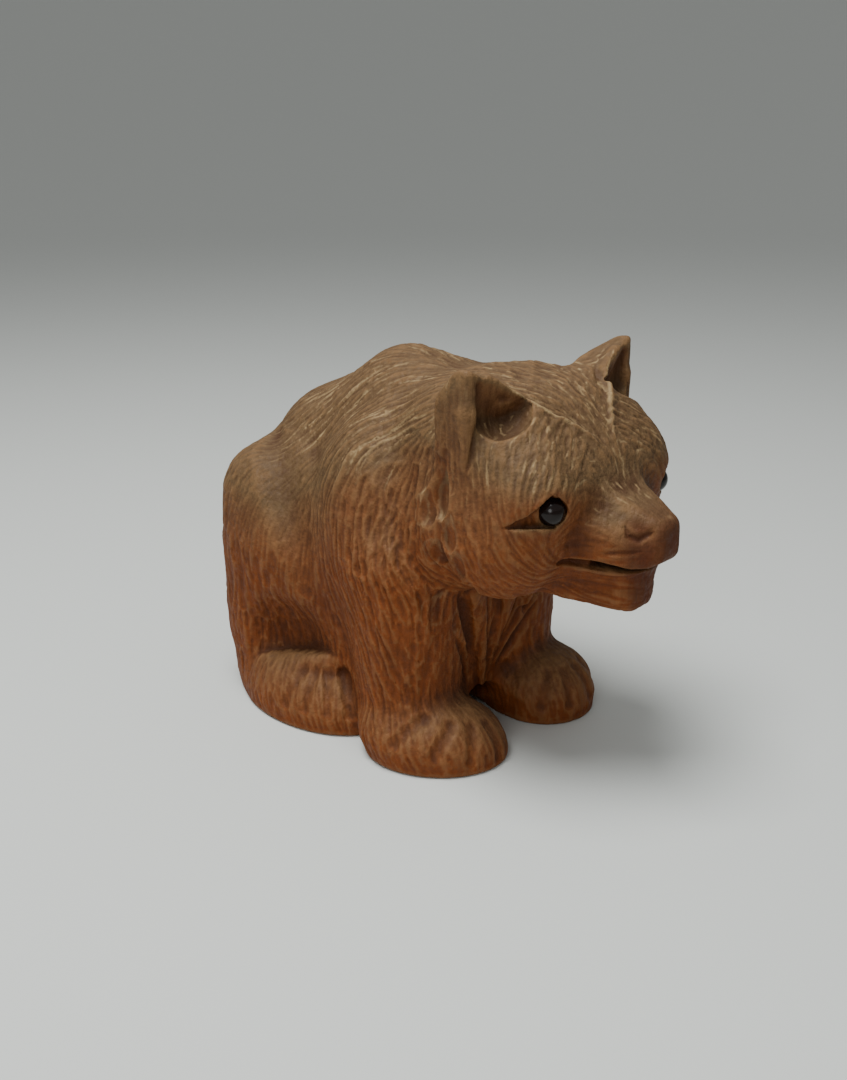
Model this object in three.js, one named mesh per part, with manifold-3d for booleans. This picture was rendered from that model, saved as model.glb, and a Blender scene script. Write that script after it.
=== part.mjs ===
// A small wooden bear, carved from one block and stained brown, with two glass bead eyes.
// It stands on four flat paws. +Z is up, the bear faces -Y, and its left side is +X.
import * as THREE from "three";
import { mergeVertices } from "three/addons/utils/BufferGeometryUtils.js";
import { SimplifyModifier } from "three/addons/modifiers/SimplifyModifier.js";
import Module from "manifold-3d";

// Driving sizes, in millimetres
const bearLength = 105.3;
const eyeDiameter = 5;
const eyeBackLength = 1.6;
const eyeClearance = 0.3;
const lockWidth = 4.6;
const lockLength = 18;
const lockDepth = 0.85;
const toeGrooveWidth = 1.9;
const pawGapWidth = 10;
const pawGapHeight = 8.5;

// How finely the skin is sampled, and how many triangles it is thinned to
const gridStep = 0.8;
const woodTriangles = 8800;

// The figure is drawn at this length and scaled from there. Places in it are [left, back, up].
const drawnLength = 105.3;
const share = bearLength / drawnLength;
const drawn = (size) => size / share;

// Solid forms, each a function of a place that gives the distance to its skin, negative inside

function egg([cx, cy, cz], [rx, ry, rz], [pitch, yaw] = [0, 0]) {
  const [cp, sp] = [Math.cos(pitch), Math.sin(pitch)];
  const [cw, sw] = [Math.cos(yaw), Math.sin(yaw)];
  return (x, y, z) => {
    const [dx, dy, dz] = [x - cx, y - cy, z - cz];
    const ex = cw * dx + sw * dy;
    const ey0 = cw * dy - sw * dx;
    const ey = cp * ey0 + sp * dz;
    const ez = cp * dz - sp * ey0;
    const k0 = Math.hypot(ex / rx, ey / ry, ez / rz);
    const k1 = Math.hypot(ex / (rx * rx), ey / (ry * ry), ez / (rz * rz));
    return k1 < 1e-9 ? -Math.min(rx, ry, rz) : (k0 * (k0 - 1)) / k1;
  };
}

function block([cx, cy, cz], [hx, hy, hz], round, [pitch, yaw] = [0, 0]) {
  const [cp, sp] = [Math.cos(pitch), Math.sin(pitch)];
  const [cw, sw] = [Math.cos(yaw), Math.sin(yaw)];
  return (x, y, z) => {
    const [dx, dy, dz] = [x - cx, y - cy, z - cz];
    const ex = cw * dx + sw * dy;
    const ey0 = cw * dy - sw * dx;
    const ey = cp * ey0 + sp * dz;
    const ez = cp * dz - sp * ey0;
    const qx = Math.abs(ex) - hx + round;
    const qy = Math.abs(ey) - hy + round;
    const qz = Math.abs(ez) - hz + round;
    const out = Math.hypot(Math.max(qx, 0), Math.max(qy, 0), Math.max(qz, 0));
    return out + Math.min(Math.max(qx, qy, qz), 0) - round;
  };
}

function limb([ax, ay, az], [bx, by, bz], ra, rb) {
  const [vx, vy, vz] = [bx - ax, by - ay, bz - az];
  const vv = vx * vx + vy * vy + vz * vz;
  return (x, y, z) => {
    const [dx, dy, dz] = [x - ax, y - ay, z - az];
    const t = Math.min(1, Math.max(0, (dx * vx + dy * vy + dz * vz) / vv));
    return Math.hypot(dx - t * vx, dy - t * vy, dz - t * vz) - (ra + t * (rb - ra));
  };
}

// A thin bent rod through several places. Beyond its reach the distance to its middle is enough.
function chain(radius, ...places) {
  const links = places.slice(1).map((place, i) => limb(places[i], place, radius, radius));
  const box = new THREE.Box3().setFromPoints(places.map((place) => new THREE.Vector3(...place)));
  const { center, radius: spread } = box.getBoundingSphere(new THREE.Sphere());
  const near = 4;
  return (x, y, z) => {
    const away = Math.hypot(x - center.x, y - center.y, z - center.z) - spread - radius;
    if (away > near) return away;
    return links.reduce((d, link) => Math.min(d, link(x, y, z)), Infinity);
  };
}

// A bar along the bear's length whose half width and half height change from one end to the other
function taper([ax, ay, az], [bx, by, bz], [wa, ha], [wb, hb], round) {
  return (x, y, z) => {
    const t = Math.min(1, Math.max(0, (y - ay) / (by - ay)));
    const qx = Math.abs(x - ax - t * (bx - ax)) - (wa + t * (wb - wa)) + round;
    const qy = Math.max(ay, by) > y ? Math.min(ay, by) - y + round : y - Math.max(ay, by) + round;
    const qz = Math.abs(z - az - t * (bz - az)) - (ha + t * (hb - ha)) + round;
    const out = Math.hypot(Math.max(qx, 0), Math.max(qy, 0), Math.max(qz, 0));
    return out + Math.min(Math.max(qx, qy, qz), 0) - round;
  };
}

function softMin(a, b, k) {
  const h = Math.max(k - Math.abs(a - b), 0);
  return Math.min(a, b) - (h * h) / (4 * k);
}

const blend = (k, ...forms) => (x, y, z) =>
  forms.reduce((d, form) => softMin(d, form(x, y, z), k), Infinity);

// All that lies behind a flat cut, and a form of which only that is kept
function facet([px, py, pz], [nx, ny, nz]) {
  const n = Math.hypot(nx, ny, nz);
  return (x, y, z) => ((x - px) * nx + (y - py) * ny + (z - pz) * nz) / n;
}

const keep = (k, form, ...facets) => (x, y, z) =>
  facets.reduce((d, side) => -softMin(-d, -side(x, y, z), k), form(x, y, z));

const cut = (k, form, ...cutters) => (x, y, z) =>
  cutters.reduce((d, cutter) => -softMin(-d, cutter(x, y, z), k), form(x, y, z));

// Trunk

const hips = block([0, 12.5, 25.5], [24.3, 22.3, 23], 15, [0.16, 0]);
const rump = egg([0, 13, 37.6], [21.6, 19.8, 22.6], [0.3, 0]);
const saddle = egg([0, 10.5, 50.4], [15.4, 17, 15.5], [0.4, 0]);
const hump = egg([0, -8, 54.5], [15.5, 16.6, 24.4], [-0.1, 0]);
const neck = block([0, -24, 57], [16, 18, 19], 12);
const chest = egg([0, -16, 34], [17, 15, 26]);
const belly = block([0, 0, 22], [20, 26, 20], 8);

// Strands of the coat that hang down the chest, and the folds that part them from the forelegs

const chestStrands = blend(
  1,
  limb([-8, -31, 35], [0, -27, 10], 3.4, 0.9),
  limb([3, -32, 36], [1.5, -28, 16], 3, 0.9),
  limb([9, -31, 33], [5, -27.5, 12], 3, 0.9),
);
const chestFold = (side) => limb([side * 6, -35, 33], [side * 5.5, -29.5, 12], 1.6, 1.8);

// Legs, the near (right) ones on side -1

function foreleg(side) {
  return blend(
    6,
    egg([side * 15.5, -12, 47], [11, 15, 21], [0.2, 0]),
    limb([side * 15.5, -20, 39], [side * 15.5, -20.5, 9], 12, 9.7),
  );
}

const hock = (side) => limb([side * 15.5, 20.5, 46], [side * 15, 20.5, 5], 10.7, 10.3);
const thigh = (side) => egg([side * 17, 12, 38], [9.7, 14.5, 18]);
function kneeHollow(side) {
  const scoop = egg([side * 30, 4, 15], [10.5, 14, 13]);
  return (x, y, z) => Math.max(scoop(x, y, z), 14 - 0.25 * (y - 6) - z);
}
function thighGroove(side) {
  const [top, upper] = [[side * 19.5, 22, 62], [side * 26.2, 7, 50]];
  const [lower, end] = [[side * 28.8, 0, 38], [side * 27.2, -2, 26]];
  return blend(1, limb(top, upper, 1.2, 2.6), limb(upper, lower, 2.6, 2.8), limb(lower, end, 2.8, 1.2));
}

// Paws: round mounds, with grooves that fan out between the toes. The left forepaw is set forward.

const forepaws = [
  {
    middle: [-15, -26.7, 3.5],
    radii: [11.5, 15.6, 10],
    turned: [0.2, 0.64],
    toes: [-2.05, -1.5, -1, -0.45],
  },
  {
    middle: [17, -29, 3.5],
    radii: [12, 12.8, 10.6],
    turned: [0.05, 0],
    toes: [-0.9, -0.35, 0.2, 0.75],
  },
];
const hindpaws = [-1, 1].map((side) => ({
  middle: [side * 17, 6.5, 3.5],
  radii: [12.7, 20.5, 11.5],
  turned: [0, 0],
  toes: [0.55, 0.85, 1.15, 1.4].map((turn) => side * turn),
}));
const paws = [...forepaws, ...hindpaws];

function toeGrooves({ middle, radii, turned, toes }) {
  const tilt = new THREE.Euler(turned[0], 0, turned[1], "ZYX");
  const onTop = (turn, out) =>
    new THREE.Vector3(
      radii[0] * out * Math.sin(turn),
      -radii[1] * out * Math.cos(turn),
      radii[2] * Math.sqrt(1 - out * out) + 0.3,
    )
      .applyEuler(tilt)
      .add(new THREE.Vector3(...middle))
      .toArray();
  const steps = [0.5, 0.66, 0.8, 0.9, 0.97];
  return toes.map((turn) =>
    chain(drawn(toeGrooveWidth) / 2, ...steps.map((out) => onTop(turn * (0.6 + 0.4 * out), out))),
  );
}

// The gap that parts the left paws from the right ones

const pawGap = block([0.6, 0, 0], [drawn(pawGapWidth) / 2, 60, drawn(pawGapHeight)], 4);

// Head

const skull = block([0, -35, 58.3], [21.5, 15, 18], 11);
const brow = block([0, -44, 56.7], [22.7, 12.8, 13], 9, [0.32, 0]);
const cheek = (side) => egg([side * 12, -39, 51], [12, 12, 12.5]);
const muzzle = blend(
  3,
  taper([0, -44, 53], [0, -67, 50], [17, 10], [6.3, 4.5], 4),
  taper([0, -48, 56], [0, -69.2, 51.9], [9, 9], [3.2, 3.5], 1.5),
);
const jaw = taper([0, -48, 44.2], [0, -65, 42], [12, 5], [4.2, 4.8], 3.2);
const lipLine = 46.7;

const mouth = block([0, -65, lipLine], [14, 8.5, 0.7], 0.6, [0.12, 0]);
const lipHollow = (side) => egg([side * 9.5, -62, lipLine + 0.7], [3.5, 7, 1.6], [0.1, side * -0.45]);
const nostril = (side) => egg([side * 6.8, -66, 52.2], [1.2, 2.4, 1.2]);

// An ear is a thick flap whose rim slopes down to the crown, and a crest runs on from it to the
// brow. Its front is hollowed out behind the flap's sharp front edge.
function ear(side) {
  const rim = facet([side * 22, -39, 81], [-side * 0.38, 0, 0.92]);
  const slope = facet([side * 20, -36.5, 78.3], [0, 0.72, 0.69]);
  const under = facet([side * 20.2, -39, 63.5], [side * 0.35, 0.25, -0.9]);
  const flap = block([side * 20.2, -39, 71.5], [4, 4.4, 11], 1.2, [0, side * 0.08]);
  const lobe = limb([side * 22.2, -41.6, 75], [side * 23.2, -42.6, 70], 1.6, 2.2);
  const web = block([side * 14, -39.3, 71], [9.5, 3.4, 11], 1);
  return blend(
    1,
    keep(1.4, blend(1, keep(1, flap, under), lobe, web), rim, slope),
    chain(
      1,
      [side * 19, -42.4, 79.2],
      [side * 14, -43.5, 76.4],
      [side * 10, -48, 72.6],
      [side * 4, -52.5, 67.8],
    ),
  );
}
const earHollow = (side) =>
  keep(
    0.4,
    egg([side * 18.5, -42.5, 75.5], [7.5, 7, 7]),
    facet([side * 22.4, -43.3, 72], [side * 0.93, 0.37, 0]),
    facet([side * 21.5, -42.5, 79.4], [-side * 0.418, 0.82, 0.39]),
    facet([side * 20.8, -38.8, 71.2], [-side * 0.15, 0, -1]),
  );

// Eyes: the carved lids draw to a point above the bead and to a long one towards the ear

const eyePlace = (side) => [side * 16.2, -55, side < 0 ? 58.2 : 56.8];
const boreRadius = eyeDiameter / 2 + eyeClearance;
function eyelids(side) {
  const [x, y, z] = eyePlace(side);
  const round = drawn(boreRadius);
  return blend(
    0.8,
    limb([x, y - 0.4, z], [side * 22.5, y + 5, z - 3], round, 0.4),
    limb([x, y - 0.4, z], [x, y - 1, z + 3.5], round, 0.4),
  );
}

const sides = [-1, 1];
const trunk = blend(14, blend(6, hips, rump, saddle), hump);
const body = blend(
  6,
  trunk,
  neck,
  chest,
  belly,
  ...sides.map(foreleg),
  ...sides.map(hock),
  ...sides.map(thigh),
  blend(10, skull, brow),
  ...sides.map(cheek),
);
const whole = blend(
  2.5,
  blend(1.2, body, chestStrands),
  ...paws.map(({ middle, radii, turned }) => egg(middle, radii, turned)),
  muzzle,
  jaw,
  ...sides.map(ear),
);

// Coat: locks that lie along rings around the shoulder and run straight down the legs, each
// raised towards its tip

const shoulder = { back: -36, up: 48, legTurn: 18 };

const fade = (value, from, to) => {
  const t = Math.min(1, Math.max(0, (value - from) / (to - from)));
  return t * t * (3 - 2 * t);
};
const part = (value) => value - Math.floor(value);

function coat(x, y, z) {
  const [dy, dz] = [y - shoulder.back, z - shoulder.up];
  const bent = dz > 0 ? dz : shoulder.legTurn * Math.tanh(dz / shoulder.legTurn);
  const ring = Math.hypot(dy, bent);
  const turn = Math.atan2(bent, dy);
  const width = drawn(lockWidth);
  const across = (ring + 1.2 * Math.sin(turn * 5 + x * 0.15)) / width + Math.abs(x) * 0.06;
  const row = Math.floor(across);
  const along = (bent - dz - turn * (row + 0.5) * width) / drawn(lockLength) + 0.37 * row;
  const crest = 1 - (2 * part(across) - 1) ** 2;
  const raised = part(along);
  return crest * (0.25 + 0.75 * raised * (1 - fade(raised, 0.88, 1)));
}

function coatShare(x, y, z) {
  const offHead = Math.max(fade(y, -34, -26), fade(z, 40, 34));
  const offPaws = fade(z, 11, 17);
  const offThigh = 1 - 0.7 * fade(y, -2, 4) * fade(z, 56, 48) * fade(Math.abs(x), 16, 20);
  return offHead * offPaws * offThigh;
}

const furred = (x, y, z) =>
  whole(x, y, z) - drawn(lockDepth) * (coat(x, y, z) - 0.5) * coatShare(x, y, z);

const softlyCut = cut(
  2.5,
  furred,
  ...sides.map(chestFold),
  ...sides.map(kneeHollow),
  ...sides.map(thighGroove),
);
const wood = cut(
  1,
  softlyCut,
  pawGap,
  mouth,
  ...sides.map(lipHollow),
  ...sides.map(nostril),
  ...sides.map(earHollow),
  ...sides.map(eyelids),
  ...paws.flatMap(toeGrooves),
);

// Skin of a form as triangles: one point in each grid cell that the skin crosses, and one quad
// across each grid edge that it crosses

function skin(form, low, high, step) {
  const count = low.map((l, i) => Math.ceil((high[i] - l) / step) + 1);
  const [nx, ny, nz] = count;
  const at = (i, j, k) => i + nx * (j + ny * k);
  const place = (i, j, k) => [low[0] + i * step, low[1] + j * step, low[2] + k * step];
  const field = new Float32Array(nx * ny * nz);

  // Far from the skin, one value stands for a block of the grid
  const stride = 4;
  const reach = stride * step * 1.9;
  for (let k = 0; k < nz; k += stride)
    for (let j = 0; j < ny; j += stride)
      for (let i = 0; i < nx; i += stride) {
        const mid = place(i + stride / 2, j + stride / 2, k + stride / 2);
        const far = form(...mid);
        for (let c = k; c < Math.min(k + stride, nz); c++)
          for (let b = j; b < Math.min(j + stride, ny); b++)
            for (let a = i; a < Math.min(i + stride, nx); a++)
              field[at(a, b, c)] = Math.abs(far) > reach ? far : form(...place(a, b, c));
      }

  // A face whose two inside corners only meet across its diagonal would pinch the skin,
  // so its least certain corner changes side
  const axes = [1, nx, nx * ny];
  for (let pass = 0, pinched = 1; pinched && pass < 20; pass++) {
    pinched = 0;
    for (let k = 0; k < nz - 1; k++)
      for (let j = 0; j < ny - 1; j++)
        for (let i = 0; i < nx - 1; i++)
          for (let d = 0; d < 3; d++) {
            const [u, v] = [axes[(d + 1) % 3], axes[(d + 2) % 3]];
            const o = at(i, j, k);
            const corners = [o, o + u, o + u + v, o + v];
            const inside = corners.map((c) => field[c] < 0);
            if (inside[0] !== inside[2] || inside[1] !== inside[3] || inside[0] === inside[1])
              continue;
            corners.sort((p, q) => Math.abs(field[p]) - Math.abs(field[q]));
            field[corners[0]] = field[corners[0]] < 0 ? 1e-3 : -1e-3;
            pinched++;
          }
  }

  const points = [];
  const pointOf = new Int32Array(nx * ny * nz).fill(-1);
  for (let k = 0; k < nz - 1; k++)
    for (let j = 0; j < ny - 1; j++)
      for (let i = 0; i < nx - 1; i++) {
        const sum = [0, 0, 0];
        let crossings = 0;
        for (let d = 0; d < 3; d++)
          for (let e = 0; e < 4; e++) {
            const from = [i, j, k];
            from[(d + 1) % 3] += e & 1;
            from[(d + 2) % 3] += e >> 1;
            const a = field[at(...from)];
            const b = field[at(...from) + axes[d]];
            if (a < 0 === b < 0) continue;
            from[d] += a / (a - b);
            from.forEach((f, n) => (sum[n] += f));
            crossings++;
          }
        if (!crossings) continue;
        pointOf[at(i, j, k)] = points.length / 3;
        points.push(...place(...sum.map((s) => s / crossings)));
      }

  const faces = [];
  for (let k = 1; k < nz - 1; k++)
    for (let j = 1; j < ny - 1; j++)
      for (let i = 1; i < nx - 1; i++)
        for (let d = 0; d < 3; d++) {
          const o = at(i, j, k);
          const [a, b] = [field[o] < 0, field[o + axes[d]] < 0];
          if (a === b) continue;
          const [u, v] = [axes[(d + 1) % 3], axes[(d + 2) % 3]];
          const [p, q, r, s] = [o - u - v, o - v, o, o - u].map((c) => pointOf[c]);
          if (a) faces.push(p, q, r, p, r, s);
          else faces.push(p, r, q, p, s, r);
        }

  const geometry = new THREE.BufferGeometry();
  geometry.setAttribute("position", new THREE.Float32BufferAttribute(points, 3));
  geometry.setIndex(faces);
  return geometry;
}

// Solids

const wasm = await Module();
wasm.setup();

function solidOf(geometry) {
  const bare = geometry.clone();
  bare.deleteAttribute("normal");
  bare.deleteAttribute("uv");
  const merged = mergeVertices(bare, 1e-4);
  return new wasm.Manifold(
    new wasm.Mesh({
      numProp: 3,
      vertProperties: new Float32Array(merged.attributes.position.array),
      triVerts: new Uint32Array(merged.index.array),
    }),
  );
}

function geometryOf(solid) {
  const mesh = solid.getMesh();
  const geometry = new THREE.BufferGeometry();
  geometry.setAttribute("position", new THREE.BufferAttribute(mesh.vertProperties, 3));
  geometry.setIndex(new THREE.BufferAttribute(mesh.triVerts, 1));
  geometry.computeVertexNormals();
  return geometry;
}

// The skin is closed just under the ground, thinned to few triangles, and cut off flat on the ground
const underGround = -2.5;
const grounded = (x, y, z) => Math.max(wood(x, y, z), underGround - z);
const fine = skin(grounded, [-34, -76, -6], [34, 44, 90], drawn(gridStep));
const thinned = await new SimplifyModifier().modify(
  fine,
  fine.attributes.position.count - woodTriangles / 2,
);
thinned.scale(share, share, share);
const groundSize = 3 * bearLength;
const ground = new THREE.BoxGeometry(groundSize, groundSize, groundSize);
ground.translate(0, 0, -groundSize / 2);

// A bead is a ball with its back ground flat, glued into a drilled hole with a flat bottom
const beadBack = new THREE.BoxGeometry(2 * eyeDiameter, 2 * eyeDiameter, eyeDiameter);
beadBack.translate(0, 0, -eyeBackLength - eyeDiameter / 2);
const bead = geometryOf(
  solidOf(new THREE.SphereGeometry(eyeDiameter / 2, 16, 10)).subtract(solidOf(beadBack)),
);
const boreLength = 1.5 * eyeDiameter;
const drill = new THREE.CylinderGeometry(boreRadius, boreRadius, boreLength, 20);
drill.rotateX(Math.PI / 2);
drill.translate(0, 0, boreLength / 2 - eyeBackLength - eyeClearance);

function eyeSeat(side) {
  const aim = new THREE.Vector3(side * 0.6, -0.76, 0.25).normalize();
  const turn = new THREE.Quaternion().setFromUnitVectors(new THREE.Vector3(0, 0, 1), aim);
  const place = new THREE.Vector3(...eyePlace(side)).multiplyScalar(share);
  return new THREE.Matrix4().compose(place, turn, new THREE.Vector3(1, 1, 1));
}

const carved = sides.reduce(
  (solid, side) => solid.subtract(solidOf(drill.clone().applyMatrix4(eyeSeat(side)))),
  solidOf(thinned).subtract(solidOf(ground)),
);

// Sub-parts

const woodMaterial = new THREE.MeshStandardMaterial({ color: 0x7a5436, roughness: 0.7, metalness: 0 });
const glassMaterial = new THREE.MeshStandardMaterial({ color: 0x1a120c, roughness: 0.12, metalness: 0 });

const bear = new THREE.Mesh(geometryOf(carved), woodMaterial);
bear.name = "bear";
const figure = new THREE.Group();
figure.add(bear);
for (const side of sides) {
  const eye = new THREE.Mesh(bead, glassMaterial);
  eye.name = side < 0 ? "eye_right" : "eye_left";
  eye.applyMatrix4(eyeSeat(side));
  figure.add(eye);
}

// The origin is on the ground, under the middle of the figure
const reach = new THREE.Box3().setFromObject(figure);
figure.position.set(-(reach.min.x + reach.max.x) / 2, -(reach.min.y + reach.max.y) / 2, 0);

const group = new THREE.Group();
group.add(figure);

export default group;
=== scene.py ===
# %% [markdown]
# # A carved wooden bear
# A small souvenir bear, cut from one block of wood with gouges and a knife, stained brown and worn
# pale where hands and dust reach it. Its eyes are two dark glass beads.
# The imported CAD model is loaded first. It fixes where everything is, and nothing in it moves.
# Lengths are written in millimetres and turned into metres where Blender is given them.

import math

import bpy
import numpy as np
from mathutils import Matrix, Vector
from mathutils.bvhtree import BVHTree


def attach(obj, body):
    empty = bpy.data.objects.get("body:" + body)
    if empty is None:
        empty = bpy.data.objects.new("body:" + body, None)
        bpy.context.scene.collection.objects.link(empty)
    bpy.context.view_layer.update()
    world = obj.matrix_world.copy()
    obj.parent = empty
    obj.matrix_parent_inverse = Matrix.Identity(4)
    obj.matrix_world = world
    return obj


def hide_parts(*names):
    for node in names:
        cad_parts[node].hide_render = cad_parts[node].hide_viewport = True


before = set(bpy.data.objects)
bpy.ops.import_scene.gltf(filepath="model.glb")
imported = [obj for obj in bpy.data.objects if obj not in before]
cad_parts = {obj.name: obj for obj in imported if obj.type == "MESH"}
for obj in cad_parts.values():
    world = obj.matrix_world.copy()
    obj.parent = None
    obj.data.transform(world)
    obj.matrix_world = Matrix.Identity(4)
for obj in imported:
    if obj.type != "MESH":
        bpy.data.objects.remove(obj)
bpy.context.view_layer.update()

# %% [markdown]
# ## The camera
# The photograph was taken from the bear's right front, a little above it, from about 24 cm away.
# A camera could be moved by eye until the view looks right. Here its turn, height and distance
# were worked out from the ears, eyes, nose and paws.

# %% The camera
MM = 0.001
looked_at = Vector((5.3, 11.5, 34.9)) * MM
camera_turn = math.radians(46.7)
camera_height = math.radians(20)
camera_distance = 241 * MM
camera_lens = 36.67

towards_camera = Vector((
    -math.sin(camera_turn) * math.cos(camera_height),
    -math.cos(camera_turn) * math.cos(camera_height),
    math.sin(camera_height),
))
camera_data = bpy.data.cameras.new("camera")
camera_data.lens = camera_lens
camera_data.clip_start = 10 * MM
camera = bpy.data.objects.new("camera", camera_data)
camera.location = looked_at + towards_camera * camera_distance
camera.rotation_mode = "QUATERNION"
camera.rotation_quaternion = (-towards_camera).to_track_quat("-Z", "Y")
bpy.context.scene.collection.objects.link(camera)
bpy.context.scene.camera = camera
print("camera at, in mm:", [round(c / MM, 1) for c in camera.location])

# %% [markdown]
# ## The figure, drawn as forms
# The real bear was sawn and carved from one block. It could be sculpted by hand with brushes, but
# then nobody could read or repeat it. Here the body and its crisp edges, such as ears, crest, lips,
# lids and toes, are solid forms. Each is a function that says how far a place is from the form's
# skin, negative inside. Joining takes the nearest form, cutting takes away, and both can be
# softened by a few tenths.
# The forms repeat the bear's own shape, so the fine skin moves by tenths of a millimetre, and by
# about one millimetre at the saddle and the rump.
# They are drawn with the bear's left to +x, its back to +y, and the nose at y -69.

# %% Eggs
def laid(p, middle, pitch, yaw):
    x, y, z = (p[i] - middle[i] for i in range(3))
    x, y = math.cos(yaw) * x + math.sin(yaw) * y, math.cos(yaw) * y - math.sin(yaw) * x
    y, z = math.cos(pitch) * y + math.sin(pitch) * z, math.cos(pitch) * z - math.sin(pitch) * y
    return x, y, z


def egg(middle, radii, pitch=0.0, yaw=0.0):
    def form(p):
        x, y, z = laid(p, middle, pitch, yaw)
        rx, ry, rz = radii
        share = np.sqrt((x / rx) ** 2 + (y / ry) ** 2 + (z / rz) ** 2)
        steep = np.sqrt((x / rx**2) ** 2 + (y / ry**2) ** 2 + (z / rz**2) ** 2)
        return share * (share - 1) / np.maximum(steep, 1e-5)
    return form


print("a place 2 mm outside a ball:", round(float(egg((0, 0, 0), (5, 5, 5))((7, 0, 0))), 2))


# %% Blocks and bars
def rounded_box(x, y, z, half, edge):
    qx, qy, qz = (np.abs(v) - h + edge for v, h in zip((x, y, z), half))
    out = np.sqrt(np.maximum(qx, 0) ** 2 + np.maximum(qy, 0) ** 2 + np.maximum(qz, 0) ** 2)
    return out + np.minimum(np.maximum(np.maximum(qx, qy), qz), 0) - edge


def block(middle, half, edge, pitch=0.0, yaw=0.0):
    return lambda p: rounded_box(*laid(p, middle, pitch, yaw), half, edge)


def taper(back, front, half_back, half_front, edge):
    """A bar along the bear whose half width and half height change towards its front."""
    def form(p):
        x, y, z = p
        t = np.clip((y - back[1]) / (front[1] - back[1]), 0, 1)
        half_x, half_z = (a + t * (b - a) for a, b in zip(half_back, half_front))
        middle_y, half_y = (back[1] + front[1]) / 2, (back[1] - front[1]) / 2
        return rounded_box(
            x - back[0] - t * (front[0] - back[0]),
            y - middle_y,
            z - back[2] - t * (front[2] - back[2]),
            (half_x, half_y, half_z),
            edge,
        )
    return form


print("a place 2 mm above a block:", block((0, 0, 0), (5, 5, 5), 1)((0, 0, 7)))


# %% Limbs and flat cuts
def limb(start, end, start_radius, end_radius):
    way = np.subtract(end, start)
    def form(p):
        d = [p[i] - start[i] for i in range(3)]
        t = np.clip((d[0] * way[0] + d[1] * way[1] + d[2] * way[2]) / (way @ way), 0, 1)
        away = np.sqrt(sum((d[i] - t * way[i]) ** 2 for i in range(3)))
        return away - start_radius - t * (end_radius - start_radius)
    return form


def chain(radius, *path):
    links = [limb(a, b, radius, radius) for a, b in zip(path[:-1], path[1:])]
    return lambda p: np.minimum.reduce([link(p) for link in links])


def facet(place, outward):
    """All that lies behind a flat cut."""
    outward = np.array(outward) / np.linalg.norm(outward)
    return lambda p: sum((p[i] - place[i]) * outward[i] for i in range(3))


print("a place 2 mm before a flat cut:", facet((0, 0, 0), (0, -1, 0))((0, -2, 0)))


# %% Joining and cutting
def soft_least(a, b, soft):
    if not soft:
        return np.minimum(a, b)
    near = np.maximum(soft - np.abs(a - b), 0)
    return np.minimum(a, b) - near**2 / (4 * soft)


def joined(soft, *forms):
    def form(p):
        least = forms[0](p)
        for other in forms[1:]:
            least = soft_least(least, other(p), soft)
        return least
    return form


def without(soft, form, *cutters):
    def left(p):
        rest = form(p)
        for cutter in cutters:
            rest = -soft_least(-rest, cutter(p), soft)
        return rest
    return left


def kept(soft, form, *facets):
    def left(p):
        rest = form(p)
        for side in facets:
            rest = -soft_least(-rest, -side(p), soft)
        return rest
    return left


two_balls = joined(1, egg((0, 0, 0), (5, 5, 5)), egg((9, 0, 0), (5, 5, 5)))
print("two joined balls, where they meet:", round(float(two_balls((4.5, 2.2, 0))), 2))

# %% [markdown]
# ## Trunk, legs and paws
# The trunk is hips, rump, saddle and shoulder hump, with broad soft joins.
# The legs are thick and end in round mounds. The chest hangs in a few thick strands.
# Eggs, rounded blocks and limbs are enough, because the body's edges come later from the gouge.

# %% Trunk
# The bear's right side, then its left
SIDES = (-1, 1)
hips = block((0, 12.5, 25.5), (24.3, 22.3, 23), 15, 0.16)
rump = egg((0, 13, 37.6), (21.6, 19.6, 21.6), 0.3)
saddle = egg((0, 11.5, 51.4), (16, 18, 16.4), 0.42)
hump = egg((0, -8, 54.5), (15.5, 16.6, 24.4), -0.1)
neck = block((0, -24, 57), (16, 18, 19), 12)
chest = egg((0, -16, 34), (17, 15, 26))
belly = block((0, 0, 22), (20, 26, 20), 8)
trunk = joined(14, joined(6, hips, rump, saddle), hump)
strands = joined(
    0.5,
    limb((-8, -31, 35), (0, -27, 10), 3.4, 0.9),
    limb((3, -32, 36), (1.5, -28, 16), 3.0, 0.9),
    limb((9, -31, 33), (5, -27.5, 12), 3.0, 0.9),
)
print("trunk top at the hump, off the skin by:", round(float(trunk((0, -8, 78.8))), 2))

# %% Legs, and the hollows beside them
legs, hollows = [], []
for side in SIDES:
    legs += [
        joined(
            6,
            egg((side * 15.5, -12, 47), (11, 15, 21), 0.2),
            limb((side * 15.5, -20, 39), (side * 15.5, -20.5, 9), 12, 9.7),
        ),
        limb((side * 15.5, 20.5, 46), (side * 15, 20.5, 5), 10.7, 10.3),
        egg((side * 17, 12, 38), (9.7, 14.5, 18)),
    ]
    scoop = egg((side * 30, 4, 15), (10.5, 14, 13))
    hollows.append(lambda p, scoop=scoop: np.maximum(scoop(p), 14 - 0.25 * (p[1] - 6) - p[2]))
    hollows.append(limb((side * 6, -35, 33), (side * 5.5, -29.5, 12), 1.6, 1.8))
print("leg forms:", len(legs), "hollows:", len(hollows))

# %% Paws
# Each paw: middle, half sizes, pitch and yaw, and the turns of its toe grooves from straight ahead
paws = [
    ((-15, -26.7, 3.5), (11.5, 15.6, 10), (0.2, 0.64), (-2.05, -1.5, -1.0, -0.45)),
    ((17, -29, 3.5), (12, 12.8, 10.6), (0.05, 0), (-0.9, -0.35, 0.2, 0.75)),
    ((-17, 6.5, 3.5), (12.7, 20.5, 11.5), (0, 0), (-0.55, -0.85, -1.15, -1.4)),
    ((17, 6.5, 3.5), (12.7, 20.5, 11.5), (0, 0), (0.55, 0.85, 1.15, 1.4)),
]
paw_size = 13


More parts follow.
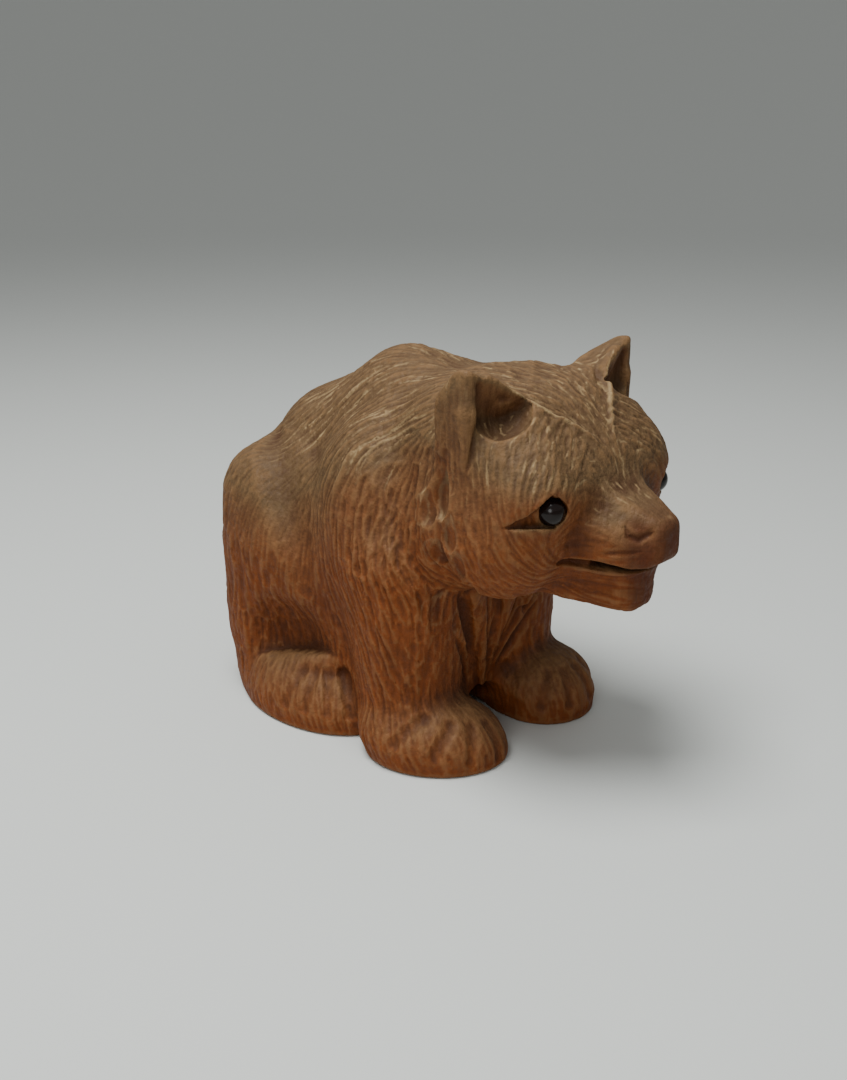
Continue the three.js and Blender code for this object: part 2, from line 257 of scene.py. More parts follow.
def on_paw(paw, turn, out, above):
    """A place on a paw: turn from straight ahead, out from its middle, above its skin."""
    middle, radii, (pitch, yaw), _ = paw
    spot = Vector((
        radii[0] * out * math.sin(turn),
        -radii[1] * out * math.cos(turn),
        radii[2] * math.sqrt(max(0, 1 - out * out)),
    )) * float(1 + above / paw_size)
    return tuple(Matrix.Rotation(yaw, 3, "Z") @ (Matrix.Rotation(pitch, 3, "X") @ spot)
                 + Vector(middle))


paw_forms = [egg(middle, radii, *tilt) for middle, radii, tilt, _ in paws]
toe_cuts = [
    chain(1.3, *[on_paw(paw, turn * (0.6 + 0.4 * out), out, 1.15 - 0.5 * out)
                 for out in np.sin(np.linspace(0.74, 1.4, 8))])
    for paw in paws for turn in paw[3]
]
print("paws:", len(paw_forms), "toe grooves:", len(toe_cuts))

# %% [markdown]
# ## The head
# The head is a broad block with a heavy brow. The muzzle is long, with a flat facet at the nose, a
# sharp upper lip and a lower lip that shows as a light ledge. The mouth is one thin cut that
# widens at its corners. It is cut out of the forms and not painted, so that it holds a true shadow.

# %% Skull, muzzle and jaw
skull = block((0, -35, 58.3), (21.5, 15, 18), 11)
brow = block((0, -44, 56.7), (22.7, 12.8, 13), 9, 0.32)
cheeks = [egg((side * 12, -39, 51), (12, 12, 12.5)) for side in SIDES]
muzzle = joined(
    3,
    taper((0, -44, 53), (0, -67, 50), (17, 10), (6.3, 4.5), 4),
    taper((0, -48, 56), (0, -69.2, 51.9), (9, 9), (3.2, 3.5), 1.5),
)
jaw = kept(
    0.4,
    taper((0, -48, 44.2), (0, -65, 42), (12, 5), (4.2, 4.8), 3.2),
    *[facet((side * 7.6, -58, 45.6), (side * 0.6, -0.15, 0.8)) for side in SIDES],
)
print("head forms:", 4 + len(cheeks))

# %% Mouth
LIP = 46.7
mouth_cuts = [block((0, -65.5, LIP + 0.1), (14, 7.5, 0.5), 0.3, 0.1)]
for side in SIDES:
    mouth_cuts.append(egg((side * 10.2, -61.5, LIP + 0.6), (3.2, 7.5, 1.2), 0.1, side * -0.45))
print("mouth cuts:", len(mouth_cuts))

# %% [markdown]
# ## The ears
# Each ear is a flap with a web that runs into the forehead, and a sharp crest from its tip down to
# the brow. A carver scoops the front out against a few flat knife cuts. An egg that is kept within
# four facets leaves the same hollow: open in front, with flat walls and a clean rim.

# %% Ears
ears, ear_cuts = [], []
for side in SIDES:
    rim = facet((side * 22, -39, 81), (-side * 0.38, 0, 0.92))
    slope = facet((side * 20, -36.5, 78.3), (0, 0.72, 0.69))
    flap = block((side * 20.2, -39, 71.5), (4.0, 4.4, 11), 1.2, 0, side * 0.08)
    web = block((side * 14, -39.3, 71), (9.5, 3.4, 11), 1.0)
    under = facet((side * 20.2, -39, 63.5), (side * 0.35, 0.25, -0.9))
    lobe = limb((side * 22.4, -41.6, 74), (side * 23.4, -42.6, 66.5), 2.3, 0.8)
    ears.append(kept(1.4, joined(1, kept(1, flap, under), lobe, web), rim, slope))
    ears.append(chain(
        1.0, (side * 19, -42.4, 79.2), (side * 14, -43.5, 76.4),
        (side * 10, -48, 72.6), (side * 4, -52.5, 67.8),
    ))
    ear_cuts.append(kept(
        0.4,
        egg((side * 18.4, -45.6, 75.4), (6.8, 4.9, 5.8)),
        facet((side * 22.4, -43.3, 72), (side * 0.93, 0.37, 0)),
        facet((side * 21.5, -42.7, 79.2), (-side * 0.4, 0.82, 0.41)),
        facet((side * 18.4, -42.0, 75), (-side * 0.12, 0.98, 0.12)),
        facet((side * 20.8, -41, 70.6), (-side * 0.1, 0.45, -0.9)),
    ))
print("ear forms:", len(ears), "ear hollows:", len(ear_cuts))

# %% [markdown]
# ## The eye cuts
# The lids are flat cuts under the brow: one draws to a point above the bead, the other to a long
# tail behind it. Seen along the eye, each is a few straight knife lines round the middle. A line is
# given by a point on it, tail-wards and upwards from the middle, and the direction it faces.
# Flat cuts keep the knife's crisp edge, which a hollow made with round forms would lose.

# %% Lids and bores
EYE_AIM = (0.6, -0.76, 0.25)
EYE_OUT, EYE_FRONT = 16.2, -55
# The right bead sits a little higher than the left
EYE_UP = {-1: 58.2, 1: 56.8}
BORE, BORE_FLOOR = 2.3, -1.9
LOWER_RIM = 2.75
LID_POINT = ((0.4, 2.9), (0.66, 0.75)), ((0.4, 2.9), (-0.68, 0.73)), ((0, -0.5), (0, -1))
LID_TAIL = ((8.4, -2.5), (0.42, 0.9)), ((3.6, -2.75), (0.02, -1)), ((-0.5, 0), (-1, 0))


def lid_cut(middle, aim, tail, up, floor, rise, lines):
    """The floor lies that far out at the lower rim, and rises towards the brow."""
    low = facet(middle + floor * aim - LOWER_RIM * up, rise * up - aim)
    return kept(0.2, low, *[
        facet(middle + t * tail + u * up, a * tail + b * up) for (t, u), (a, b) in lines
    ])


eye_cuts = []
for side in SIDES:
    middle = np.array((side * EYE_OUT, EYE_FRONT, EYE_UP[side]))
    aim = np.array((side * EYE_AIM[0], *EYE_AIM[1:]))
    up = np.array((0, 0, 1)) - aim[2] * aim
    up /= np.linalg.norm(up)
    tail = side * np.cross(up, aim)
    eye_cuts.append(lid_cut(middle, aim, tail, up, 1.1, 0, LID_POINT))
    eye_cuts.append(lid_cut(middle, aim, tail, up, -0.65, 0.75, LID_TAIL))

    def bore(p, middle=middle, aim=aim):
        d = [p[i] - middle[i] for i in range(3)]
        along = sum(d[i] * aim[i] for i in range(3))
        away = np.sqrt(np.maximum(sum(v**2 for v in d) - along**2, 0))
        return np.maximum(away - BORE, BORE_FLOOR - along)
    eye_cuts.append(bore)

print("eye cuts:", len(eye_cuts))

# %% [markdown]
# ## The whole figure
# The parts are joined with soft seams, and the cuts come last, sharpest at the mouth and eyes.
# The gap between the left and the right paws is a saw cut from front to back.

# %% The whole figure
body = joined(6, trunk, neck, chest, belly, *legs, joined(10, skull, brow), *cheeks)
whole = joined(2.5, joined(0.7, body, strands), *paw_forms, muzzle, jaw)
whole = joined(1.0, whole, *ears)
paw_gap = block((0.6, 0, 0), (5, 60, 8.5), 4)
figure = without(2.5, whole, *hollows)
figure = without(0.8, figure, paw_gap, *toe_cuts)
figure = without(0.6, figure, *ear_cuts)
figure = without(0.25, figure, *mouth_cuts, *eye_cuts)
print("the drawn nose is off the figure's skin by:", round(float(figure((0, -69.2, 51.9))), 2))

# %% [markdown]
# ## The block of wood
# The real figure is one piece of wood. The CAD solid has its true shape in a few thousand flat
# triangles, and a carver's tool marks need a much finer skin. Subdividing would keep the long thin
# triangles, so the solid is copied, remeshed into small even squares and eased until its facets
# are gone. Remeshing with voxels keeps it one closed body.

# %% Helpers for one piece at a time
def only(piece):
    bpy.ops.object.select_all(action="DESELECT")
    piece.select_set(True)
    bpy.context.view_layer.objects.active = piece


def modified(piece, kind, **values):
    only(piece)
    modifier = piece.modifiers.new(kind.lower(), kind)
    for name, value in values.items():
        setattr(modifier, name, value)
    bpy.ops.object.modifier_apply(modifier=modifier.name)


# %% The fine skin
voxel = 0.35
bear = bpy.data.objects.new("bear_carved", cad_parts["bear"].data.copy())
bpy.context.scene.collection.objects.link(bear)
only(bear)
bpy.ops.object.mode_set(mode="EDIT")
bpy.ops.mesh.select_all(action="SELECT")
bpy.ops.mesh.remove_doubles(threshold=0.001 * MM)
bpy.ops.object.mode_set(mode="OBJECT")
modified(bear, "REMESH", mode="VOXEL", voxel_size=voxel * MM)
modified(bear, "SMOOTH", factor=0.5, iterations=3)
print("fine skin:", len(bear.data.vertices), "points")

# %% [markdown]
# ## Reading and easing the skin
# The carving is done on arrays: the place and outward direction of every point of the skin.
# Modifiers could push the skin about, but they can't follow a drawn form or a stroke of the gouge.
# Easing a value moves it towards the average of its neighbours along the mesh's edges. It is used
# to find what is hollow and what is proud.

# %% Arrays of the skin
def places_of(piece):
    places = np.empty(3 * len(piece.data.vertices), np.float32)
    piece.data.vertices.foreach_get("co", places)
    return places.reshape(-1, 3).astype(float) / MM


def outward_of(piece):
    outward = np.empty(3 * len(piece.data.vertices), np.float32)
    piece.data.vertex_normals.foreach_get("vector", outward)
    return outward.reshape(-1, 3).astype(float)


def edges_of(piece):
    edges = np.empty(2 * len(piece.data.edges), np.int32)
    piece.data.edges.foreach_get("vertices", edges)
    return edges.reshape(-1, 2)


def put_places(piece, places):
    piece.data.vertices.foreach_set("co", (places * MM).astype(np.float32).ravel())
    piece.data.update()


EASE = 0.6


def eased(values, edges, rounds):
    a, b = edges.T
    count = len(values)
    met = np.bincount(edges.ravel(), minlength=count)
    columns = values.reshape(count, -1).copy()
    for _ in range(rounds):
        for column in columns.T:
            total = np.bincount(a, column[b], count) + np.bincount(b, column[a], count)
            column += EASE * (total / met - column)
    return columns.reshape(values.shape)


print("edges of the skin:", len(edges_of(bear)))

# %% [markdown]
# ## Settling the fine skin on the forms
# Every point moves along its own outward direction until the forms say that it is on their skin.
# Between the rounds the points slide sideways, so that they stay evenly spread on steep walls.
# The flat soles are left as they are.

# %% Settling
DRAWN_TO_FRAME = np.array((-0.007, 16.541, 0))
longest_step = 0.6
sole_height = 0.4


def settle(piece, rounds):
    edges = edges_of(piece)
    for _ in range(rounds):
        places, outward = places_of(piece), outward_of(piece)
        off = figure(tuple((places - DRAWN_TO_FRAME).astype(np.float32).T))
        sole = (places[:, 2] < sole_height) & (outward[:, 2] < -0.4)
        off[sole] = 0
        places -= outward * np.clip(off, -longest_step, longest_step)[:, None]
        slide = eased(places, edges, 1) - places
        slide -= (slide * outward).sum(1)[:, None] * outward
        slide[sole] = 0
        places += slide
        places[:, 2] = np.maximum(places[:, 2], 0)
        put_places(piece, places)
    print("furthest from the forms:", round(float(np.percentile(np.abs(off), 99)), 2), "mm")


settle(bear, 4)
modified(bear, "REMESH", mode="VOXEL", voxel_size=voxel * MM)
settle(bear, 2)

# %% [markdown]
# ## How the coat lies
# A carver combs the coat with a gouge, and each part of the body has its own direction, length,
# width and depth of stroke. They are written down at a few dozen places on one half of the bear,
# and every point of the skin takes an average of the nearest ones. The direction is where the
# tips of the hair point. The other half is the mirror image. A hair system would need hundreds
# of guides combed by hand, and its hairs couldn't cut the wood.
# Each row: place [out to the side, back, up], direction of the hair, then the length, width and
# depth of a fine cut, and the depth of the broad chips under it.

# %% The combing of the back and shoulders
body_combing = [
    # Hump and back
    ((0, -6, 83), (0, 0.9, -0.1), 9, 1.2, 0.06, 0.15),
    ((10, 0, 78), (0.3, 0.8, -0.4), 13, 1.3, 0.16, 0.15),
    ((17, -10, 71), (0.15, 0.9, -0.3), 15, 1.5, 0.32, 0.2),
    ((18, 0, 66), (0.2, 0.7, -0.7), 16, 1.5, 0.34, 0.2),
    ((0, 15, 70), (0, 0.9, -0.4), 12, 1.3, 0.14, 0.2),
    ((10, 18, 66), (0.35, 0.6, -0.7), 15, 1.5, 0.26, 0.2),
    ((0, 30, 60), (0, 0.8, -0.6), 10, 1.2, 0.10, 0.2),
    ((9, 36, 52), (0.2, 0.6, -0.8), 10, 1.2, 0.10, 0.2),
    # Shoulder rings
    ((22, 4, 58), (0.1, 0.35, -0.95), 15, 1.5, 0.34, 0.2),
    ((25, 6, 46), (0, -0.1, -1), 13, 1.6, 0.40, 0.3),
    ((25, 3, 34), (0, -0.3, -0.95), 11, 1.7, 0.44, 0.3),
    ((23, -18, 60), (0, 0.3, -0.95), 8, 1.8, 0.40, 0.45),
    ((25, -10, 50), (0, 0.1, -1), 5, 1.9, 0.38, 0.55),
    ((26, -14, 42), (0, -0.6, -0.8), 4, 1.9, 0.38, 0.6),
    ((25, -5, 40), (0, -0.3, -0.95), 7, 1.7, 0.42, 0.45),
]
print("rows for the back and shoulders:", len(body_combing))

# %% The combing of the legs and paws
leg_combing = [
    # Foreleg
    ((25, -4, 24), (0, -0.35, -0.93), 12, 1.7, 0.48, 0.3),
    ((23, 0, 14), (0, -0.3, -0.95), 12, 1.6, 0.42, 0.3),
    ((26, -12, 30), (0, -0.2, -0.98), 7, 1.7, 0.34, 0.4),
    ((26, -12, 18), (0, -0.15, -0.98), 7, 1.6, 0.20, 0.3),
    ((15, -16, 25), (0, 0, -1), 9, 1.6, 0.14, 0.25),
    ((15, 6, 20), (0, 0, -1), 9, 1.7, 0.18, 0.2),
    # Thigh, rump and hock
    ((23, 27, 55), (0.1, 0.5, -0.85), 10, 1.2, 0.10, 0.1),
    ((26, 24, 42), (0, 0.25, -0.97), 9, 1.2, 0.08, 0.1),
    ((26, 17, 33), (0, 0.1, -1), 8, 1.4, 0.14, 0.15),
    ((22, 38, 42), (-0.2, 0.3, -0.93), 10, 1.4, 0.10, 0.3),
    ((24, 36, 28), (-0.1, 0.1, -1), 11, 1.7, 0.22, 0.35),
    ((0, 50, 35), (0, 0.1, -1), 11, 1.6, 0.16, 0.3),
    ((15, 50, 18), (0, 0, -1), 11, 1.7, 0.18, 0.3),
    ((24, 16, 20), (0, 0, -1), 8, 1.6, 0.18, 0.25),
    # Underside and between the legs
    ((0, 10, 12), (0, 0.9, 0), 9, 2.0, 0.10, 0.2),
    ((5, -12, 25), (0, 0, -1), 10, 1.8, 0.20, 0.3),
    # Paws
    ((16, -13, 9), (0, -0.6, -0.8), 6, 1.3, 0.04, 0.12),
    ((18, 18, 8), (0.5, -0.6, -0.6), 6, 1.3, 0.04, 0.12),
]
print("rows for the legs and paws:", len(leg_combing))

# %% The combing of the head
head_combing = [
    # Ruff and throat
    ((24, -20, 60), (0, 0, -1), 6, 1.6, 0.14, 0.5),
    ((24, -24, 54), (0, -0.15, -0.98), 6, 1.5, 0.10, 0.4),
    ((22, -28, 48), (-0.1, -0.3, -0.94), 6, 1.5, 0.10, 0.4),
    ((14, -26, 43), (-0.2, -0.3, -0.93), 6, 1.5, 0.10, 0.4),
    ((0, -30, 42), (0, -0.2, -0.95), 6, 1.5, 0.10, 0.4),
    # Cheek and jaw
    ((22, -30, 64), (0, -0.2, -0.98), 7, 1.1, 0.18, 0.12),
    ((23, -32, 57), (0, -0.3, -0.95), 7, 1.2, 0.24, 0.12),
    ((21, -36, 51), (-0.2, -0.7, -0.7), 9, 1.2, 0.26, 0.12),
    ((15, -41, 46), (-0.35, -0.9, -0.3), 12, 1.1, 0.26, 0.1),
    ((8, -46, 41), (-0.25, -0.95, -0.15), 11, 1.0, 0.20, 0.08),
    ((0, -42, 38), (0, -1, 0), 9, 1.3, 0.15, 0.1),
    # Brow and forehead
    ((17, -31, 71), (0.5, 0, -0.86), 6, 1.2, 0.14, 0.12),
    ((12, -36, 70), (0.55, 0, -0.8), 4, 1.1, 0.26, 0.2),
    ((17, -37, 65), (0.35, 0.1, -0.93), 6, 1.2, 0.24, 0.12),
    ((7, -38, 68), (0.6, 0.1, -0.75), 4, 1.1, 0.24, 0.2),
    ((4, -42, 63), (0.3, 0.9, 0.3), 4, 1.1, 0.08, 0.1),
    ((0, -34, 71), (0, 0.95, 0.1), 4, 1.2, 0.10, 0.2),
    ((0, -42, 65), (0, 0.9, 0.4), 4, 1.1, 0.08, 0.1),
    # Crown between the ears
    ((0, -24, 74), (0, 0.9, 0), 5, 1.6, 0.12, 0.5),
    ((8, -27, 74), (0.5, 0.8, 0), 5, 1.5, 0.12, 0.4),
    ((0, -14, 78), (0, 0.95, 0.2), 6, 1.6, 0.12, 0.5),
    # Ears
    ((24, -22, 74), (0, 0.1, -1), 6, 1.2, 0.05, 0.06),
    ((18, -28, 75), (0, -0.2, -1), 5, 1.2, 0.05, 0.06),
    # Muzzle
    ((6, -47, 57), (0.3, 0.9, 0.2), 5, 1.1, 0.04, 0.06),
    ((12, -43, 52), (0.3, 0.9, 0.1), 5, 1.1, 0.06, 0.06),
    ((0, -52, 52), (0, 0.9, 0.1), 5, 1.1, 0.03, 0.04),
]
print("rows for the head:", len(head_combing))


# %% The combing at any place
def combed(places):
    combing = body_combing + leg_combing + head_combing
    rows = [(place, lay, size) for place, lay, *size in combing]
    mirrored = [((-p[0], *p[1:]), (-d[0], *d[1:]), s) for p, d, s in rows if p[0]]
    at = np.array([place for place, _, _ in rows + mirrored], float)
    lay = np.array([lay for _, lay, _ in rows + mirrored], float)
    lay /= np.linalg.norm(lay, axis=1)[:, None]
    size = np.array([size for _, _, size in rows + mirrored], float)
    values = np.concatenate([lay, size], 1)
    away = (places**2).sum(1)[:, None] + (at**2).sum(1) - 2 * places @ at.T
    weight = 1 / (np.maximum(away, 0) + 4) ** 2
    return (weight @ values) / weight.sum(1)[:, None]


print("on the crown: direction, length, width, depths:", combed(np.array([[0.0, -24, 74]])).round(2)[0])

# %% [markdown]
# ## Gouge strokes
# A stroke is a short bent path on the skin. Along it the wood goes down by a rounded profile,
# deepest near the root of the lock and running out at its tip. Where two strokes meet, the deeper
# one wins and leaves a sharp ridge, which is what makes a carved coat look cut and not moulded.
# A sculpting brush could do one stroke at a time. Thousands are laid here by a rule, with the small
# differences of a hand, and a fixed seed makes them the same in each run.
# The skin's points are kept in a grid of small boxes, so that a stroke finds its own at once.

# %% A skin that can be carved
class Skin:
    box = 3.0

    def __init__(self, piece):
        self.places = places_of(piece)
        self.outward = outward_of(piece)
        self.tree = BVHTree.FromObject(piece, bpy.context.evaluated_depsgraph_get())
        corners = np.empty(len(piece.data.polygons), np.int32)
        piece.data.polygons.foreach_get("loop_start", corners)
        loops = np.empty(len(piece.data.loops), np.int32)
        piece.data.loops.foreach_get("vertex_index", loops)
        self.point_of_face = loops[corners]
        self.sort_into_boxes()
        self.coat = combed(self.places)
        lay = self.coat[:, :3]
        self.lay = lay - (lay * self.outward).sum(1)[:, None] * self.outward
        self.lay /= np.linalg.norm(self.lay, axis=1)[:, None] + 1e-9

    def sort_into_boxes(self):
        boxes = np.floor(self.places / self.box).astype(int)
        order = np.lexsort(boxes.T)
        changes = np.any(np.diff(boxes[order], axis=0), axis=1)
        starts = np.concatenate([[0], np.flatnonzero(changes) + 1, [len(order)]])
        self.members = {
            tuple(boxes[order[a]]): order[a:b] for a, b in zip(starts[:-1], starts[1:])
        }

    def near(self, path, reach):
        low = np.floor((path.min(0) - reach) / self.box).astype(int)
        high = np.floor((path.max(0) + reach) / self.box).astype(int)
        found = [
            self.members[i, j, k]
            for i in range(low[0], high[0] + 1)
            for j in range(low[1], high[1] + 1)
            for k in range(low[2], high[2] + 1)
            if (i, j, k) in self.members
        ]
        return np.concatenate(found) if found else np.empty(0, int)

    def nearest(self, place):
        spot, normal, face, _ = self.tree.find_nearest(Vector(place) * MM)
        return np.array(spot) / MM, np.array(normal), self.point_of_face[face]


skin = Skin(bear)
print("boxes of skin:", len(skin.members))


# %% One cut of the gouge
def gouge(skin, layer, path, width, depth, profile, run):
    """Deepens a layer along path. profile(across) and run(along) go from 0 to 1, the deepest."""
    path = np.asarray(path, float)
    indices = skin.near(path, width)
    if not len(indices):
        return
    points = skin.places[indices]
    steps = np.diff(path, axis=0)
    lengths = np.linalg.norm(steps, axis=1)
    before = np.concatenate([[0], np.cumsum(lengths)])
    best = np.full(len(indices), np.inf)
    along = np.zeros(len(indices))
    for start, step, length, passed in zip(path[:-1], steps, lengths, before):
        t = np.clip(((points - start) @ step) / length**2, 0, 1)
        away = np.linalg.norm(points - start - t[:, None] * step, axis=1)
        closer = away < best
        best[closer] = away[closer]
        along[closer] = (passed + t * length)[closer]
    half = width / 2 * run(along / before[-1])
    hit = best < half
    _, facing, _ = skin.nearest(path[len(path) // 2])
    hit &= skin.outward[indices] @ facing > 0.1
    indices, share = indices[hit], best[hit] / half[hit]
    level = depth * profile(share) * (half[hit] * 2 / width)
    layer[indices] = np.maximum(layer[indices], level)


# %% Profiles across a cut
def rounded(across):
    return 1 - across**2


def v_shaped(across):
    return 1 - across


def dished(across):
    return 1 - across**4


def softly_dished(across):
    return (1 - across**2) ** 2


print("depth half way out:", [f(0.5) for f in (rounded, v_shaped, dished, softly_dished)])


# %% Widths along a cut
def pointed(along):
    """The width along a stroke: quickly wide near its root, long and thin at its tip."""
    return np.sqrt(np.sin(np.pi * np.clip(along, 0, 1) ** 0.75)) + 1e-6


def oval(along):
    return np.sqrt(np.maximum(1 - (2 * along - 1) ** 2, 0)) + 1e-6


def tapering(along):
    return np.sqrt(np.sin(np.pi * np.clip(along, 0, 1))) + 1e-6


def scooped(along):
    """A scoop that starts shallow and ends in a steep stop cut."""
    return np.sqrt(np.sin(np.pi * np.clip(along, 0, 1) ** 1.7)) + 1e-6


print("width near the root:", [round(float(f(0.2)), 2) for f in (pointed, oval, tapering, scooped)])


# %% The path of one lock
path_step = 1.6


def lock_path(skin, start, length, bend):
    place, _, point = skin.nearest(start)
    path = [place]
    steps = max(3, round(length / path_step))
    turn = 0.0
    for _ in range(steps):
        lay = skin.lay[point]
        side = np.cross(skin.outward[point], lay)
        turn += bend / steps
        place, _, point = skin.nearest(place + (lay + turn * side) * length / steps)
        path.append(place)
    return path


print("places on the path of a 9 mm lock:", len(lock_path(skin, skin.places[0], 9, 0)))


# %% Combing the whole coat
chance = np.random.default_rng(7)
box_size = 5
clear_height = 1.2
bend_spread = 0.16


def comb_coat(skin, share, sizes, spread, profile, run):
    """Strokes in random order, none closer to another than part of its own length and width."""
    layer = np.zeros(len(skin.places))
    taken = {}
    strokes = 0
    around = [(i, j, k) for i in (-1, 0, 1) for j in (-1, 0, 1) for k in (-1, 0, 1)]
    for point in chance.permutation(len(skin.places))[: int(share * len(skin.places))]:
        length, width, depth = sizes(*skin.coat[point, 3:])
        x, y, z = skin.places[point].tolist()
        a, b, c = skin.lay[point].tolist()
        box = (int(x // box_size), int(y // box_size), int(z // box_size))
        clear = z > clear_height
        for i, j, k in taken.get(box, ()):
            along = (i - x) * a + (j - y) * b + (k - z) * c
            across = (i - x) ** 2 + (j - y) ** 2 + (k - z) ** 2 - along**2
            if (along / spread[0] / length) ** 2 + across / (spread[1] * width) ** 2 < 1:
                clear = False
                break
        if not clear:
            continue
        for i, j, k in around:
            taken.setdefault((box[0] + i, box[1] + j, box[2] + k), []).append((x, y, z))
        size = chance.uniform((0.6, 0.6, 0.35), (1.5, 1.3, 1.3))
        start = skin.places[point] - skin.lay[point] * length / 2
        path = lock_path(skin, start, length * size[0], chance.normal(0, bend_spread))
        gouge(skin, layer, path, width * size[1], depth * size[2], profile, run)
        strokes += 1
    print("strokes:", strokes)
    return layer


# %% Chips, hairs and nicks
# Broad shallow chips lie under the fine hair cuts
chips = comb_coat(
    skin, 0.05, lambda length, width, fine, broad: (6.5, 3.8, broad), (0.45, 0.5), rounded, oval,
)
hairs = comb_coat(
    skin, 0.14, lambda length, width, fine, broad: (length, width, fine), (0.4, 0.8),
    v_shaped, pointed,
)

# Short nicks roughen the coat where the broad chips are deep
nicks = comb_coat(
    skin, 0.06, lambda length, width, fine, broad: (2.8, 1.5, 0.5 * broad), (0.45, 0.6),
    v_shaped, pointed,
)
print("deepest chip, hair and nick:", [round(float(cut.max()), 2) for cut in (chips, hairs, nicks)])

# %% [markdown]
# ## Cuts with a place of their own
# Some cuts are no part of the combed coat: the big scoops of the ruff behind the cheek, the chips
# down the front of the foreleg, the folds of the chest, the wings of the nose and the crease by
# the ear. Each goes from one place to the next over the skin, is written once and is cut on both
# sides.
# They could be solid cutters, but a scoop that follows the skin keeps the same depth everywhere.

# %% Placed cuts
# Each row: shape along the cut, width, depth, and its places as they are drawn, side outwards
twin_cuts = [
    # Ruff behind and under the cheek
    (scooped, 5.9, 1.6, (23.2, -37.5, 65), (24.6, -36.2, 54.0)),
    (scooped, 4.8, 1.4, (25.2, -33.0, 60), (25.4, -32.2, 52)),
    (scooped, 5.1, 1.4, (24.6, -40.5, 57), (25.0, -38.5, 48.5)),
    (scooped, 4.6, 1.4, (24.6, -36.5, 51), (24.2, -34.5, 43.5)),
    (scooped, 4.4, 1.4, (23.6, -42.0, 51), (22.6, -39.5, 43)),
    (scooped, 4.0, 1.2, (20.6, -42.5, 45.5), (19.2, -38.5, 38)),
    (scooped, 4.0, 1.2, (16.5, -42.5, 43), (15.2, -38.0, 36)),
    (scooped, 4.0, 1.2, (12.0, -42.5, 41), (11.0, -37.0, 34.5)),
    (scooped, 3.7, 1.1, (7.5, -42.0, 40), (6.8, -36.5, 33.5)),
    (scooped, 3.7, 1.1, (3.0, -41.5, 39.5), (2.6, -36.0, 33)),
    (scooped, 3.5, 0.8, (19.5, -34.5, 37), (19.5, -32.5, 30)),
    (scooped, 3.3, 0.8, (8.0, -33.0, 34), (7.5, -31.5, 28.0)),
    (scooped, 3.3, 0.8, (13.0, -32.5, 33), (12.5, -31.3, 27.0)),
    # Chips down the front edge of the foreleg
    (pointed, 3.4, 0.6, (24.8, -26.0, 38), (23.3, -28.4, 30)),
    (pointed, 3.4, 0.6, (24.4, -26.3, 32.5), (22.6, -28.4, 25)),
    (pointed, 3.2, 0.6, (24.4, -25.6, 27), (22.8, -27.8, 20)),
    (pointed, 3.2, 0.6, (24.8, -24.8, 22.5), (23.4, -26.8, 16.5)),
    (pointed, 3.0, 0.5, (24.8, -24.0, 19), (23.8, -25.8, 13.5)),
    (tapering, 2.4, 0.5, (19.0, -30.2, 27), (20.6, -29.0, 14.5)),
    # Folds of the chest beside the strands
    (tapering, 3.6, 1.3, (13.5, -31.5, 36), (8.5, -29.6, 26), (5.0, -28.5, 18)),
    (tapering, 3.2, 1.3, (13.0, -31.0, 26), (8.0, -29.4, 19), (4.6, -27.0, 11)),
    (tapering, 2.4, 0.8, (4.5, -31.0, 33), (2.6, -29.5, 22), (1.8, -27.5, 14)),
    # Wings of the nose
    (tapering, 1.5, 0.6, (3.8, -67.6, 54.4), (5.4, -65.8, 52.8), (6.5, -64.3, 53.6), (6.6, -63.6, 55.4)),
    (tapering, 1.3, 0.4, (7.2, -60.5, 50.2), (6.6, -63.6, 50.6), (5.2, -66.6, 50.9)),
    # The crease between the ear and the cheek
    (tapering, 1.4, 0.6, (22.6, -43.8, 73), (23.4, -43.4, 68), (23.9, -42.6, 64)),
    # Vertical chips on the back of the thigh and hock
    (tapering, 4.0, 0.6, (27.4, 17.5, 37), (26.4, 19.5, 22)),
    (tapering, 3.6, 0.6, (26.6, 22.0, 35), (25.4, 24.0, 20)),
    (tapering, 4.0, 0.5, (23.0, 29.0, 38), (22.0, 30.0, 18)),
    (tapering, 4.0, 0.5, (16.0, 33.5, 40), (15.0, 34.0, 16)),
    (tapering, 3.0, 0.5, (27.2, 12.0, 36), (26.0, 13.0, 26)),
]
print("placed cuts on each side:", len(twin_cuts))


# %% Cutting along placed paths
def over_skin(skin, stops):
    """A path over the skin through several places, one step each 0.8 mm."""
    path = []
    for start, end in zip(stops[:-1], stops[1:]):
        start, end = np.array(start, float), np.array(end, float)
        steps = max(2, round(np.linalg.norm(end - start) / 0.8))
        for t in np.arange(steps) / steps:
            path.append(skin.nearest(start + t * (end - start) + DRAWN_TO_FRAME)[0])
    path.append(skin.nearest(np.array(stops[-1]) + DRAWN_TO_FRAME)[0])
    return path


def twin(skin, layer, run, width, depth, profile, *stops):
    for side in SIDES:
        path = over_skin(skin, [(side * x, y, z) for x, y, z in stops])
        gouge(skin, layer, path, width, depth, profile, run)


marks, valley, crest = (np.zeros(len(skin.places)) for _ in range(3))
for run, width, depth, *stops in twin_cuts:
    twin(skin, marks, run, width, depth, dished if run is scooped else rounded, *stops)
print("deepest placed cut:", round(float(marks.max()), 2))

# %% Valleys and crest
# The soft valley between thigh and shoulder
thigh_line = (16.0, 22.0, 64), (23.5, 9.0, 55), (26.8, 1.5, 42), (26.5, -1.0, 28)
twin(skin, valley, tapering, 14, 1.9, softly_dished, *thigh_line)

# The cheek stands proud of the neck
cheek_line = (23.8, -36.5, 66), (25.0, -35.5, 56), (24.4, -36.5, 47), (19.0, -38.0, 40), (8.0, -38.0, 36)
twin(skin, valley, tapering, 10, 1.3, softly_dished, *cheek_line)

